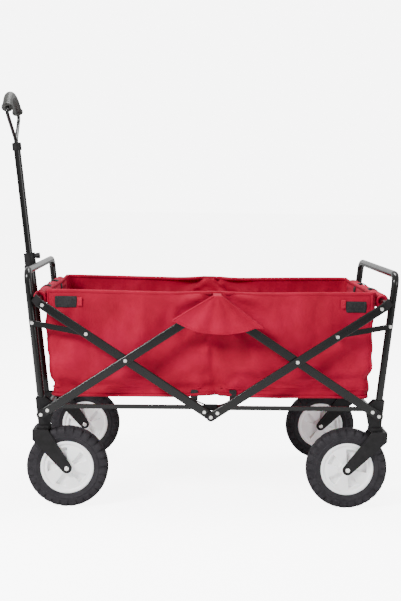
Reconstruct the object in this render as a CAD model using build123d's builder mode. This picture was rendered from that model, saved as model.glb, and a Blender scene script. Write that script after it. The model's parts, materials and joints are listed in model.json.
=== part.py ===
"""A folding camp wagon: a fabric tub hung in a steel scissor frame, on four wheels, with a telescoping handle.

The wagon is symmetric about the middle plane Y = 0. X runs from the handle end (the front, negative) to the rear
and Z is up from the ground. Sizes are millimetres. X is measured from the middle of the scissor frame, and every
piece is moved by ORIGIN_X when it is written, so that the row's origin is below the middle of the whole wagon.
"""

from build123d import *
from math import atan2, cos, hypot, radians, sin, tan
import os

# ---- driving dimensions -------------------------------------------------------------------------------------
# wheels
wheel_radius = 100.0
tyre_width = 40.0
hub_radius = 66.0
hub_boss_radius = 15.0
hub_boss_length = 44.0
hub_disc_thickness = 9.0
hub_rim_width = 34.0
hub_rim_depth = 7.0
pocket_count = 5
pocket_depth = 2.5
lug_count = 28
lug_groove_width = 7.0
lug_groove_depth = 5.0
axle_radius = 4.0
axle_head_radius = 5.8
axle_head_height = 3.5

# scissor frame, side view: each long side has a front and a rear X
open_angle = 33.3
fold_angle = 36.0
cross_height = 367.7
centre_reach = 249.2
foot_reach = 243.0
rail_reach = 256.0
rail_rise = 5.0
rail_rivet_reach = 239.9
link_reach = 114.3
end_rivet_reach = 19.0

# tubes and bars
post_y = 240.0
frame_tube_radius = 9.0
frame_tube_wall = 1.5
hoop_lean = 6.0
hoop_top_height = 579.5
hoop_bend_radius = 24.0
hoop_foot_gap = 1.5
bar_height = 21.0
bar_thickness = 9.0
bar_wall = 1.3
bar_edge_radius = 2.6
link_height = 13.0
link_thickness = 5.0
stay_height = 10.5
stay_thickness = 5.5
rail_radius = 7.0
rail_wall = 1.2
cross_tube_drop = 9.0
pin_radius = 4.0
pin_head_radius = 4.9
pin_head_height = 1.8

# corner brackets, forks and swivels
bracket_plate = 2.5
bracket_bottom = 203.6
bracket_top = 271.0
fork_plate = 4.0
crown_thickness = 4.0
crown_outboard = 25.0
crown_inboard = 12.5
crown_top = 195.0
fork_leg_drop = 24.0
fork_toe_radius = 12.5
front_trail = 58.5
rear_trail = 70.3
kingpin_radius = 5.0
kingpin_length = 22.0
housing_radius = 19.0
stay_height_above_ground = 248.0
stay_pivot_inset = 16.3

# handle
handle_lean = 6.4
handle_pivot_forward = 23.8
handle_tube_radius = 11.0
handle_tube_wall = 1.5
handle_tube_length = 372.0
pole_radius = 9.0
pole_wall = 1.3
pole_bottom = 286.0
pole_top = 668.0
pole_travel = 245.0
clamp_radius = 15.0
clamp_height = 40.0
knob_radius = 8.0
knob_length = 10.0
collar_radius = 12.0
collar_height = 20.0
loop_rod_radius = 4.6
loop_half_width = 84.0
grip_radius = 12.0
grip_start = 760.0
grip_top = 796.0
button_radius = 6.0
button_proud = 4.0
button_travel = 3.0

# fabric tub
tub_rim_height = 534.0
tub_floor_height = 275.0
tub_half_width = 229.0
tub_half_length_top = 404.0
tub_half_length_bottom = 386.0
tub_wall = 3.0
sleeve_radius = 19.0
sleeve_half_length = 220.0
flap_thickness = 3.0
flap_half_width = 108.0
flap_bottom = 440.0

# clearances
running_gap = 0.05
open_pivot_gap = 0.4
seat_gap = 0.3
layer_gap = 0.5
tongue_gap = 0.15

# ---- derived positions --------------------------------------------------------------------------------------
theta = radians(open_angle)
theta_folded = radians(open_angle + fold_angle)
cross_x = centre_reach * cos(theta)
foot_x = cross_x + foot_reach * cos(theta)
foot_z = cross_height - foot_reach * sin(theta)
top_z = cross_height + centre_reach * sin(theta)
bottom_z = cross_height - centre_reach * sin(theta)
rail_x = cross_x + rail_reach * cos(theta) - rail_rise * sin(theta)
rail_z = cross_height + rail_reach * sin(theta) + rail_rise * cos(theta)

# layers across the frame, as distances from the middle plane
post_outer = post_y + frame_tube_radius
plate_outer_in = post_outer + seat_gap
plate_outer_out = plate_outer_in + bracket_plate
plate_inner_out = post_y - frame_tube_radius - seat_gap
plate_inner_in = plate_inner_out - bracket_plate
link_in = post_outer + layer_gap
link_out = link_in + link_thickness
inner_bar_in = link_out + layer_gap
inner_bar_out = inner_bar_in + bar_thickness
outer_bar_in = inner_bar_out + layer_gap
outer_bar_out = outer_bar_in + bar_thickness
front_stay_in = plate_inner_out + 1.3
rear_stay_in = front_stay_in + stay_thickness + layer_gap

# the short link turns about a post, at the height where one length suits the open and the folded frame
pin_reach_x = foot_reach - link_reach
pin_reach_z = foot_reach + link_reach
open_pin = (pin_reach_x * cos(theta), pin_reach_z * sin(theta))
folded_pin = (pin_reach_x * cos(theta_folded), pin_reach_z * sin(theta_folded))
middle_pin = ((open_pin[0] + folded_pin[0]) / 2, (open_pin[1] + folded_pin[1]) / 2)
across = (folded_pin[0] - open_pin[0], folded_pin[1] - open_pin[1])
lean_slope = tan(radians(hoop_lean))
# on the post's line x = -lean_slope * z, as far from one pin as from the other
link_pivot_dz = (middle_pin[0] * across[0] + middle_pin[1] * across[1]) / (across[1] - lean_slope * across[0])
link_pivot_x = foot_x + lean_slope * link_pivot_dz
link_pivot_z = foot_z + link_pivot_dz
link_pin_x = foot_x - open_pin[0]
link_pin_z = foot_z + open_pin[1]
link_length = hypot(link_pivot_x - link_pin_x, link_pivot_z - link_pin_z)

stay_pivot_x = foot_x - stay_pivot_inset
stay_z = stay_height_above_ground

post_bottom_x = foot_x + lean_slope * (bracket_bottom - foot_z)
post_top_x = foot_x + lean_slope * (hoop_top_height - foot_z)
cross_tube_z = foot_z - cross_tube_drop
cross_tube_x = foot_x - lean_slope * cross_tube_drop
front_wheel_x = post_bottom_x - front_trail
rear_wheel_x = post_bottom_x - rear_trail
handle_pivot_x = cross_tube_x + handle_pivot_forward
handle_tan = tan(radians(handle_lean))

# the button on the front of the grip and the back of the rear hoop are the wagon's two ends
grip_front = handle_pivot_x + grip_top * sin(radians(handle_lean)) + grip_radius + button_proud
ORIGIN_X = (post_top_x + frame_tube_radius - grip_front) / 2

FRONT, REAR = -1, 1
NEAR = Plane.XZ
os.makedirs("parts", exist_ok=True)


def save(part, name):
    """Writes one piece, moved so that the origin is below the middle of the wagon."""
    moved = Pos(-ORIGIN_X, 0, 0) * part
    moved.label = name
    export_step(moved, f"parts/{name}.step")


def far_copy(part):
    """The same piece on the far side."""
    return mirror(part, about=Plane.XZ)


def layer(inner):
    """A side-view sketch plane (X right, Z up) on the near side, this far from the middle."""
    return NEAR.offset(inner)


def bar_plane(start, end, inner):
    """A side-view plane with its origin on start and its X axis towards end."""
    return Plane(
        origin=(start[0], -inner, start[1]),
        x_dir=(end[0] - start[0], 0, end[1] - start[1]),
        z_dir=(0, -1, 0),
    )


def along(start, end, distance):
    """The point this far from start on the way to end."""
    whole = hypot(end[0] - start[0], end[1] - start[1])
    return (start[0] + (end[0] - start[0]) * distance / whole, start[1] + (end[1] - start[1]) * distance / whole)


# ---- wheels -------------------------------------------------------------------------------------------------
def tyre(x, side):
    """A tyre with square shoulders, and grooves across both shoulders between its lugs."""
    half = tyre_width / 2
    bead = hub_rim_width / 2
    with BuildPart() as made:
        with BuildSketch(Plane(origin=(x, side * post_y, wheel_radius), x_dir=(1, 0, 0), z_dir=(0, 0, 1))):
            with BuildLine():
                Polyline(
                    (hub_radius, -bead + 2),
                    (hub_radius + 8, -half + 1),
                    (wheel_radius - 16, -half),
                    (wheel_radius - 4, -half + 3),
                    (wheel_radius, -half + 9),
                    (wheel_radius, half - 9),
                    (wheel_radius - 4, half - 3),
                    (wheel_radius - 16, half),
                    (hub_radius + 8, half - 1),
                    (hub_radius, bead - 2),
                    close=True,
                )
            make_face()
        revolve(axis=Axis((x, side * post_y, wheel_radius), (0, 1, 0)))
        wheel_plane = Plane(origin=(x, side * post_y, wheel_radius), x_dir=(1, 0, 0), z_dir=(0, -1, 0))
        for face in (-half, half - 12):
            with BuildSketch(wheel_plane.offset(face)):
                with PolarLocations(wheel_radius, lug_count):
                    Rectangle(2 * lug_groove_depth, lug_groove_width)
            extrude(amount=12, mode=Mode.SUBTRACT)
    return made.part


def hub(x, side):
    """A moulded wheel: a rim, a disc with shallow wedge pockets on both faces, and a boss round the axle."""
    with BuildPart() as made:
        wheel_plane = Plane(origin=(x, side * post_y, wheel_radius), x_dir=(1, 0, 0), z_dir=(0, -1, 0))
        with BuildSketch(wheel_plane):
            Circle(hub_radius)
            Circle(hub_radius - hub_rim_depth, mode=Mode.SUBTRACT)
        extrude(amount=hub_rim_width / 2, both=True)
        with BuildSketch(wheel_plane):
            Circle(hub_radius - hub_rim_depth / 2)
        extrude(amount=hub_disc_thickness / 2, both=True)
        with BuildSketch(wheel_plane):
            Circle(hub_boss_radius)
        extrude(amount=hub_boss_length / 2, both=True)
        for face in (-hub_disc_thickness / 2, hub_disc_thickness / 2 - pocket_depth):
            with BuildSketch(wheel_plane.offset(face)):
                with PolarLocations(0, pocket_count, start_angle=18):
                    with Locations((hub_radius * 0.55, 0)):
                        Trapezoid(hub_radius * 0.34, hub_radius * 0.4, 80, rotation=90)
            extrude(amount=pocket_depth, mode=Mode.SUBTRACT)
        with BuildSketch(wheel_plane.offset(-hub_boss_length)):
            Circle(axle_radius + running_gap)
        extrude(amount=2 * hub_boss_length, mode=Mode.SUBTRACT)
    return made.part


for end_name, wheel_x in (("front", -front_wheel_x), ("rear", rear_wheel_x)):
    for side_name, side in (("near", -1), ("far", 1)):
        save(tyre(wheel_x, side), f"{end_name}_tyre_{side_name}")
        save(hub(wheel_x, side), f"{end_name}_hub_{side_name}")

fork_inner = max(hub_boss_length, tyre_width) / 2 + 1.2
fork_outer = fork_inner + fork_plate


def fork(pivot_x, axle_x, swivels):
    """A near-side fork: a crown plate, a raked leg down each side of the wheel, and a kingpin or a fixed boss."""
    outwards = 1 if pivot_x > 0 else -1
    outer_x = pivot_x + outwards * crown_outboard
    inner_x = pivot_x - outwards * crown_inboard
    with BuildPart() as made:
        crown_middle = ((outer_x + inner_x) / 2, -post_y, crown_top)
        with BuildSketch(Plane(origin=crown_middle, x_dir=(1, 0, 0), z_dir=(0, 0, -1))):
            Rectangle(crown_outboard + crown_inboard, 2 * fork_outer)
        extrude(amount=crown_thickness)
        for inner in (post_y + fork_inner, post_y - fork_outer):
            with BuildSketch(layer(inner)) as leg:
                with BuildLine():
                    Polyline(
                        (outer_x, crown_top),
                        (inner_x, crown_top),
                        (inner_x, crown_top - fork_leg_drop),
                        (outer_x, crown_top - fork_leg_drop),
                        close=True,
                    )
                    with Locations((axle_x, wheel_radius)):
                        CenterArc((axle_x, wheel_radius), fork_toe_radius, 0, 360)
                make_hull()
                with Locations((axle_x, wheel_radius)):
                    Circle(axle_radius + running_gap, mode=Mode.SUBTRACT)
            extrude(amount=fork_plate)
        if swivels:
            with BuildSketch(Plane.XY.offset(crown_top)):
                with Locations((pivot_x, -post_y)):
                    Circle(kingpin_radius)
            extrude(amount=kingpin_length)
        else:
            with BuildSketch(Plane.XY.offset(crown_top)):
                with Locations((pivot_x, -post_y)):
                    Circle(housing_radius)
            extrude(amount=bracket_bottom - crown_top)
    return made.part


def axle(axle_x):
    """A near-side axle bolt with a domed head outside each fork leg."""
    with BuildPart() as made:
        with BuildSketch(layer(post_y - fork_outer)):
            with Locations((axle_x, wheel_radius)):
                Circle(axle_radius)
        extrude(amount=2 * fork_outer)
        for inner in (post_y - fork_outer - axle_head_height, post_y + fork_outer):
            with BuildSketch(layer(inner)):
                with Locations((axle_x, wheel_radius)):
                    Circle(axle_head_radius)
            extrude(amount=axle_head_height)
        for end_face in (made.faces().sort_by(Axis.Y)[0], made.faces().sort_by(Axis.Y)[-1]):
            fillet(end_face.edges(), radius=2)
    return made.part


front_fork = fork(-post_bottom_x, -front_wheel_x, True)
rear_fork = fork(post_bottom_x, rear_wheel_x, False)
save(front_fork, "front_fork_near")
save(far_copy(front_fork), "front_fork_far")
save(rear_fork, "rear_fork_near")
save(far_copy(rear_fork), "rear_fork_far")
front_axle = axle(-front_wheel_x)
rear_axle = axle(rear_wheel_x)
save(front_axle, "front_axle_near")
save(far_copy(front_axle), "front_axle_far")
save(Compound(children=[rear_axle, far_copy(rear_axle)]), "rear_axles")


# ---- end frames ---------------------------------------------------------------------------------------------
def hoop(end):
    """An inverted U of round tube: two posts that lean outwards, and the bar across their tops."""
    lean = (end * lean_slope, 0, 1)
    foot_height = bracket_bottom + hoop_foot_gap
    foot = (end * (post_bottom_x + lean_slope * hoop_foot_gap), 0, foot_height)
    rise = (hoop_top_height - foot_height) / cos(radians(hoop_lean))
    hoop_plane = Plane(origin=foot, x_dir=(0, 1, 0), z_dir=Vector(0, 1, 0).cross(Vector(*lean)))
    with BuildPart() as made:
        with BuildLine(hoop_plane):
            FilletPolyline(
                (-post_y, 0),
                (-post_y, rise),
                (post_y, rise),
                (post_y, 0),
                radius=hoop_bend_radius,
            )
        with BuildSketch(Plane(origin=(foot[0], -post_y, foot[2]), z_dir=lean)):
            Circle(frame_tube_radius)
            Circle(frame_tube_radius - frame_tube_wall, mode=Mode.SUBTRACT)
        sweep()
        for x, z in ((end * foot_x, foot_z), (end * link_pivot_x, link_pivot_z)):
            with BuildSketch(layer(-2 * post_y)):
                with Locations((x, z)):
                    Circle(pin_radius + running_gap)
            extrude(amount=4 * post_y, mode=Mode.SUBTRACT)
    return made.part


def bracket(end):
    """A near-side corner bracket: a channel round the foot of a post, whose lugs hold the bar and the stay."""
    front_x = post_bottom_x + frame_tube_radius / cos(radians(hoop_lean)) + seat_gap + bracket_plate
    front_top_x = front_x + lean_slope * (bracket_top - bracket_bottom)
    lug_x = stay_pivot_x - stay_height
    outline = [
        (front_x, bracket_bottom),
        (front_top_x, bracket_top),
        (foot_x - 10, bracket_top),
        (lug_x, stay_z + 8),
        (lug_x, stay_z - 9),
        (post_bottom_x - 16, bracket_bottom),
    ]
    with BuildPart() as made:
        with BuildSketch(layer(plate_inner_in)) as profile:
            with BuildLine():
                Polyline(*[(end * x, z) for x, z in outline], close=True)
            make_face()
            fillet(profile.vertices().group_by(Axis.X)[-1 if end < 0 else 0], radius=6)
        extrude(amount=plate_outer_out - plate_inner_in)
        hollow = [
            (front_x - bracket_plate, bracket_bottom - 1),
            (front_top_x - bracket_plate, bracket_top + 1),
            (lug_x - 5, bracket_top + 1),
            (lug_x - 5, bracket_bottom - 1),
        ]
        with BuildSketch(layer(plate_inner_out)):
            with BuildLine():
                Polyline(*[(end * x, z) for x, z in hollow], close=True)
            make_face()
        extrude(amount=plate_outer_in - plate_inner_out, mode=Mode.SUBTRACT)
        with BuildSketch(layer(plate_inner_in - 1)):
            with Locations((end * foot_x, foot_z), (end * stay_pivot_x, stay_z)):
                Circle(pin_radius + running_gap)
        extrude(amount=plate_outer_out - plate_inner_in + 2, mode=Mode.SUBTRACT)
    return made.part


def cross_tube(end):
    """The tube across the bottom of an end frame, from one corner bracket to the other."""
    with BuildPart() as made:
        with BuildSketch(layer(-plate_inner_in)):
            with Locations((end * cross_tube_x, cross_tube_z)):
                Circle(frame_tube_radius)
                Circle(frame_tube_radius - frame_tube_wall, mode=Mode.SUBTRACT)
        extrude(amount=2 * plate_inner_in)
    return made.part


def headed_pin(x, z, inner, outer, inner_head=True, outer_head=True, bush=None):
    """A near-side rivet between two distances from the middle, with low heads and perhaps a bush round it."""
    with BuildPart() as made:
        with BuildSketch(layer(inner)):
            with Locations((x, z)):
                Circle(pin_radius)
        extrude(amount=outer - inner)
        if outer_head:
            with BuildSketch(layer(outer)):
                with Locations((x, z)):
                    Circle(pin_head_radius)
            extrude(amount=pin_head_height, taper=25)
        if inner_head:
            with BuildSketch(layer(inner - pin_head_height)):
                with Locations((x, z)):
                    Circle(pin_head_radius)
            extrude(amount=pin_head_height)
        if bush:
            with BuildSketch(layer(bush[0])):
                with Locations((x, z)):
                    Circle(pin_radius + 3)
            extrude(amount=bush[1] - bush[0])
    return made.part


def on_both_sides(parts):
    """These near-side pieces and their far-side copies, as one group of solids."""
    return Compound(children=parts + [far_copy(part) for part in parts])


rising_layer = {FRONT: outer_bar_in, REAR: inner_bar_in}
falling_layer = {FRONT: inner_bar_in, REAR: outer_bar_in}


def frame_pins(end):
    """The pins of one near corner: the scissor bar's, the stay's and the short link's."""
    bar_in = rising_layer[end]
    bar_pin = headed_pin(
        end * foot_x,
        foot_z,
        plate_inner_in,
        bar_in + bar_thickness + seat_gap,
        inner_head=False,
        bush=(plate_outer_out, bar_in - seat_gap),
    )
    stay_pin = headed_pin(end * stay_pivot_x, stay_z, plate_inner_in, plate_outer_out)
    link_pin = headed_pin(end * link_pivot_x, link_pivot_z, post_y - frame_tube_radius - 1.5, link_out + seat_gap)
    return [bar_pin, stay_pin, link_pin]


for end_name, end in (("front", FRONT), ("rear", REAR)):
    save(hoop(end), f"{end_name}_hoop")
    save(cross_tube(end), f"{end_name}_cross_tube")
    save(on_both_sides([bracket(end)]), f"{end_name}_brackets")
    save(on_both_sides(frame_pins(end)), f"{end_name}_frame_pins")

with BuildPart() as caster_housings:
    with BuildSketch(Plane.XY.offset(crown_top + layer_gap)):
        with Locations((-post_bottom_x, -post_y), (-post_bottom_x, post_y)):
            Circle(housing_radius)
            Circle(kingpin_radius + running_gap, mode=Mode.SUBTRACT)
    extrude(amount=bracket_bottom - crown_top - layer_gap)
save(caster_housings.part, "caster_housings")


# ---- scissor bars -------------------------------------------------------------------------------------------
def bar(start, end, inner, first, last, holes):
    """A flat-oval tube from first to last along the line from start to end, bored at each distance in holes."""
    with BuildPart() as made:
        plane = bar_plane(start, end, inner)
        with BuildSketch(plane):
            with Locations(((first + last) / 2, 0)):
                Rectangle(last - first, bar_height)
        extrude(amount=bar_thickness)
        fillet(made.edges().filter_by(Axis((0, 0, 0), tuple(plane.x_dir))), radius=bar_edge_radius)
        with BuildSketch(plane.offset(bar_wall)):
            with Locations(((first + last) / 2, 0)):
                Rectangle(last - first + 2, bar_height - 2 * bar_wall)
        extrude(amount=bar_thickness - 2 * bar_wall, mode=Mode.SUBTRACT)
        with BuildSketch(plane.offset(-1)):
            with Locations(*[(u, 0) for u in holes]):
                Circle(pin_radius + running_gap)
        extrude(amount=bar_thickness + 2, mode=Mode.SUBTRACT)
    return made.part


def eye_end(start, end, inner, pivot, direction, gap, rivet):
    """A solid end piece: an eye round the pivot, and a tongue inside the tube held by a rivet hole."""
    tongue_end = rivet + direction * 12
    shoulder = pivot + direction * (bar_height / 2 + 1)
    with BuildPart() as made:
        plane = bar_plane(start, end, inner)
        with BuildSketch(plane):
            with Locations((pivot, 0)):
                Circle(bar_height / 2)
            with Locations(((pivot + shoulder) / 2, 0)):
                Rectangle(abs(shoulder - pivot), bar_height)
        extrude(amount=bar_thickness)
        with BuildSketch(plane.offset(bar_wall + tongue_gap)):
            with Locations(((shoulder + tongue_end) / 2, 0)):
                Rectangle(abs(tongue_end - shoulder), bar_height - 2 * (bar_wall + tongue_gap))
        extrude(amount=bar_thickness - 2 * (bar_wall + tongue_gap))
        with BuildSketch(plane.offset(-1)):
            with Locations((pivot, 0)):
                Circle(pin_radius + gap)
            with Locations((rivet, 0)):
                Circle(pin_radius + running_gap)
        extrude(amount=bar_thickness + 2, mode=Mode.SUBTRACT)
    return made.part


def rail_end(start, end, inner, last):
    """The tapered upper end of a falling bar, which the end of the rail is welded to."""
    tip = rail_reach_along + rail_radius + 4
    up = 1 if end[0] > start[0] else -1
    with BuildPart() as made:
        plane = bar_plane(start, end, inner)
        with BuildSketch(plane):
            with BuildLine():
                Polyline(
                    (last, -up * bar_height / 2),
                    (tip, up * (5 - bar_height / 2)),
                    (tip, up * (rail_rise + rail_radius + 1)),
                    (last, up * bar_height / 2),
                    close=True,
                )
            make_face()
        extrude(amount=bar_thickness)
        with BuildSketch(plane.offset(bar_wall + tongue_gap)):
            with Locations((last - 16, 0)):
                Rectangle(32, bar_height - 2 * (bar_wall + tongue_gap))
        extrude(amount=bar_thickness - 2 * (bar_wall + tongue_gap))
        with BuildSketch(plane.offset(-1)):
            with Locations((rail_rivet_along, 0)):
                Circle(pin_radius + running_gap)
        extrude(amount=bar_thickness + 2, mode=Mode.SUBTRACT)
    return made.part


rising_length = foot_reach + centre_reach
tube_inset = bar_height / 2 + 1
# distances along a falling bar, from its pivot at the bottom centre
rail_rivet_along = centre_reach + rail_rivet_reach
rail_reach_along = centre_reach + rail_reach
falling_tube_end = rail_rivet_along + 9

for end_name, end in (("front", FRONT), ("rear", REAR)):
    foot = (end * foot_x, foot_z)
    top = (0, top_z)
    bottom = (0, bottom_z)
    crossing = (end * cross_x, cross_height)
    rise_in = rising_layer[end]
    fall_in = falling_layer[end]

    rising = bar(
        foot,
        top,
        rise_in,
        tube_inset,
        rising_length - tube_inset,
        [end_rivet_reach, foot_reach, rising_length - end_rivet_reach],
    )
    save(rising, f"{end_name}_rising_bar_near")
    save(far_copy(rising), f"{end_name}_rising_bar_far")
    lower_eye = eye_end(foot, top, rise_in, 0, 1, running_gap, end_rivet_reach)
    upper_eye = eye_end(foot, top, rise_in, rising_length, -1, running_gap, rising_length - end_rivet_reach)
    save(on_both_sides([lower_eye, upper_eye]), f"{end_name}_rising_ends")

    falling = bar(
        bottom,
        crossing,
        fall_in,
        tube_inset,
        falling_tube_end,
        [end_rivet_reach, centre_reach, centre_reach + link_reach, rail_rivet_along],
    )
    save(falling, f"{end_name}_falling_bar_near")
    save(far_copy(falling), f"{end_name}_falling_bar_far")
    bottom_gap = open_pivot_gap if end == FRONT else running_gap
    bottom_eye = eye_end(bottom, crossing, fall_in, 0, 1, bottom_gap, end_rivet_reach)
    tip = rail_end(bottom, crossing, fall_in, falling_tube_end)
    save(on_both_sides([bottom_eye, tip]), f"{end_name}_falling_ends")

    with BuildPart() as end_rail:
        with BuildSketch(layer(-fall_in)):
            with Locations((end * rail_x, rail_z)):
                Circle(rail_radius)
                Circle(rail_radius - rail_wall, mode=Mode.SUBTRACT)
        extrude(amount=2 * fall_in)
    save(end_rail.part, f"{end_name}_rail")

    # the crossing pin turns with the rising bar, and two rivets hold its end pieces; a rivet is flush where
    # the bar in the outer layer passes over it
    rising_pins = [headed_pin(end * cross_x, cross_height, inner_bar_in - seat_gap, outer_bar_out + seat_gap)]
    for u in (end_rivet_reach, rising_length - end_rivet_reach):
        rivet = along(foot, top, u)
        passed_over = rise_in == inner_bar_in and u > foot_reach
        rising_pins.append(
            headed_pin(*rivet, rise_in, rise_in + bar_thickness, inner_head=False, outer_head=not passed_over)
        )
    save(on_both_sides(rising_pins), f"{end_name}_rising_pins")

    falling_pins = []
    for u in (end_rivet_reach, centre_reach + link_reach, rail_rivet_along):
        rivet = along(bottom, crossing, u)
        passed_over = fall_in == inner_bar_in and u < centre_reach
        falling_pins.append(
            headed_pin(*rivet, fall_in, fall_in + bar_thickness, inner_head=False, outer_head=not passed_over)
        )
    if end == REAR:
        falling_pins.append(headed_pin(*bottom, inner_bar_in - seat_gap, outer_bar_out))
    save(on_both_sides(falling_pins), f"{end_name}_falling_pins")

    # the short link lies between the post and the bars
    post_pin = (end * link_pivot_x, link_pivot_z)
    bar_pin = (end * link_pin_x, link_pin_z)
    with BuildPart() as link:
        with BuildSketch(bar_plane(post_pin, bar_pin, link_in)):
            with Locations((link_length / 2, 0)):
                SlotCenterToCenter(link_length, link_height)
            Circle(pin_radius + running_gap, mode=Mode.SUBTRACT)
        extrude(amount=link_thickness)
    save(on_both_sides([link.part]), f"{end_name}_links")

    # the floor stay reaches from the corner bracket to the middle of the wagon
    stay_in = front_stay_in if end == FRONT else rear_stay_in
    with BuildPart() as stay:
        with BuildSketch(bar_plane((end * stay_pivot_x, stay_z), (0, stay_z), stay_in)):
            with Locations((stay_pivot_x / 2, 0)):
                SlotCenterToCenter(stay_pivot_x, stay_height)
            Circle(pin_radius + running_gap, mode=Mode.SUBTRACT)
        extrude(amount=stay_thickness)
    save(on_both_sides([stay.part]), f"{end_name}_stays")

# the hub plate at the middle of each pair of stays, with the rivet that shows
with BuildPart() as stay_hub:
    hub_in = rear_stay_in + stay_thickness
    with BuildSketch(layer(hub_in)):
        with Locations((0, stay_z + 2)):
            Trapezoid(34, 16, 70, rotation=180)
    extrude(amount=bracket_plate)
    with BuildSketch(layer(hub_in + bracket_plate)):
        with Locations((0, stay_z)):
            Circle(pin_head_radius)
    extrude(amount=pin_head_height, taper=25)
save(on_both_sides([stay_hub.part]), "stay_hubs")

# the pins at the top centre also carry the tub
top_pin = headed_pin(0, top_z, inner_bar_in - seat_gap, outer_bar_out + seat_gap)
save(on_both_sides([top_pin]), "top_pivot_pins")


# ---- handle -------------------------------------------------------------------------------------------------
handle_foot = (-handle_pivot_x, 0, cross_tube_z)
handle_axis = (-sin(radians(handle_lean)), 0, cos(radians(handle_lean)))


def handle_plane(height):
    """The plane across the handle at this distance above its pivot, with X towards the wagon."""
    plane = Plane(origin=handle_foot, x_dir=(handle_axis[2], 0, -handle_axis[0]), z_dir=handle_axis)
    return plane.offset(height)


ear_gap = handle_tube_radius + 1.2
ear_thickness = 4.0
with BuildPart() as handle_bracket:
    for inner in (ear_gap, -ear_gap - ear_thickness):
        with BuildSketch(layer(inner)):
            with Locations((-(handle_pivot_x + cross_tube_x) / 2, cross_tube_z)):
                SlotCenterToCenter(handle_pivot_forward, 2 * (frame_tube_radius + 4))
            with Locations((-cross_tube_x, cross_tube_z)):
                Circle(frame_tube_radius, mode=Mode.SUBTRACT)
        extrude(amount=ear_thickness)
    with BuildSketch(layer(-ear_gap)):
        with Locations((-cross_tube_x - frame_tube_radius - 1.5, cross_tube_z)):
            Rectangle(2, 16)
    extrude(amount=2 * ear_gap)
    with BuildSketch(layer(-ear_gap - ear_thickness - 2)):
        with Locations((-handle_pivot_x, cross_tube_z)):
            Circle(pin_radius)
    extrude(amount=2 * (ear_gap + ear_thickness + 2))
save(handle_bracket.part, "handle_bracket")

with BuildPart() as handle_tube:
    with BuildSketch(handle_plane(0)):
        Circle(handle_tube_radius)
    extrude(amount=handle_tube_length)
    with BuildSketch(layer(layer_gap - ear_gap)):
        with Locations((-handle_pivot_x, cross_tube_z)):
            Circle(handle_tube_radius + 1)
    extrude(amount=2 * (ear_gap - layer_gap))
    with BuildSketch(handle_plane(handle_tube_radius + 4)):
        Circle(handle_tube_radius - handle_tube_wall)
    extrude(amount=handle_tube_length, mode=Mode.SUBTRACT)
    with BuildSketch(layer(-2 * handle_tube_radius)):
        with Locations((-handle_pivot_x, cross_tube_z)):
            Circle(pin_radius + running_gap)
    extrude(amount=4 * handle_tube_radius, mode=Mode.SUBTRACT)
save(handle_tube.part, "handle_tube")

clamp_bottom = handle_tube_length - clamp_height * 0.65
with BuildPart() as handle_clamp:
    with BuildSketch(handle_plane(clamp_bottom)):
        Circle(clamp_radius)
    extrude(amount=clamp_height)
    with BuildSketch(handle_plane(clamp_bottom)):
        Circle(clamp_radius + 2)
    extrude(amount=7)
    with BuildSketch(handle_plane(clamp_bottom - 1)):
        Circle(handle_tube_radius + running_gap)
    extrude(amount=handle_tube_length - clamp_bottom + 1, mode=Mode.SUBTRACT)
    with BuildSketch(handle_plane(clamp_bottom)):
        Circle(pole_radius + 2 * running_gap)
    extrude(amount=clamp_height + 1, mode=Mode.SUBTRACT)
    knob_plane = Plane(
        origin=handle_plane(handle_tube_length + 5).origin,
        x_dir=(0, 1, 0),
        z_dir=(handle_axis[2], 0, -handle_axis[0]),
    )
    with BuildSketch(knob_plane.offset(clamp_radius - 2)):
        Circle(6)
    extrude(amount=4)
    with BuildSketch(knob_plane.offset(pole_radius + 1)):
        Circle(3 + running_gap)
    extrude(amount=20, mode=Mode.SUBTRACT)
save(handle_clamp.part, "handle_clamp")

with BuildPart() as clamp_knob:
    with BuildSketch(knob_plane.offset(clamp_radius + 2 + seat_gap)):
        with PolarLocations(knob_radius - 1.5, 6):
            Circle(2)
        Circle(knob_radius - 1)
    extrude(amount=knob_length)
    with BuildSketch(knob_plane.offset(pole_radius + 2)):
        Circle(3)
    extrude(amount=10)
save(clamp_knob.part, "clamp_knob")

with BuildPart() as handle_pole:
    with BuildSketch(handle_plane(pole_bottom)):
        Circle(pole_radius)
        Circle(pole_radius - pole_wall, mode=Mode.SUBTRACT)
    extrude(amount=pole_top - pole_bottom)
save(handle_pole.part, "handle_pole")

collar_bottom = pole_top - collar_height * 0.6
collar_top = collar_bottom + collar_height
with BuildPart() as handle_collar:
    with BuildSketch(handle_plane(collar_bottom)):
        Circle(collar_radius)
    extrude(amount=collar_height)
    chamfer(handle_collar.faces().sort_by(Axis.Z)[-1].edges(), length=1.5)
    with BuildSketch(handle_plane(collar_bottom)):
        Circle(pole_radius + running_gap)
    extrude(amount=pole_top - collar_bottom + running_gap, mode=Mode.SUBTRACT)
save(handle_collar.part, "handle_collar")

# the loop and its grip lie in the plane of the handle's axis and the Y axis
loop_plane = Plane(origin=handle_foot, x_dir=(0, 1, 0), z_dir=(handle_axis[2], 0, -handle_axis[0]))
leg_half = collar_radius - loop_rod_radius - 0.5
arch_slope = 2 * atan2(grip_top - grip_start, loop_half_width)
arch_radius = loop_half_width / sin(arch_slope)
# each rod rises from the collar, slants out to a shoulder and turns in along the grip's arch
shoulder_out = 12.0
loop_corners = [
    (leg_half, collar_top),
    (leg_half, collar_top + 8),
    (loop_half_width + shoulder_out, grip_start - shoulder_out * tan(arch_slope)),
    (0, grip_start + loop_half_width * tan(arch_slope)),
]
with BuildPart() as handle_loop:
    with BuildLine(loop_plane) as loop_path:
        FilletPolyline(
            *[(-u, v) for u, v in loop_corners],
            *[(u, v) for u, v in reversed(loop_corners[:-1])],
            radius=[8, 9, arch_radius, 9, 8],
        )
    with BuildSketch(Plane(origin=loop_path.line @ 0, z_dir=loop_path.line % 0)):
        Circle(loop_rod_radius)
    sweep()
save(handle_loop.part, "handle_loop")

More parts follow.
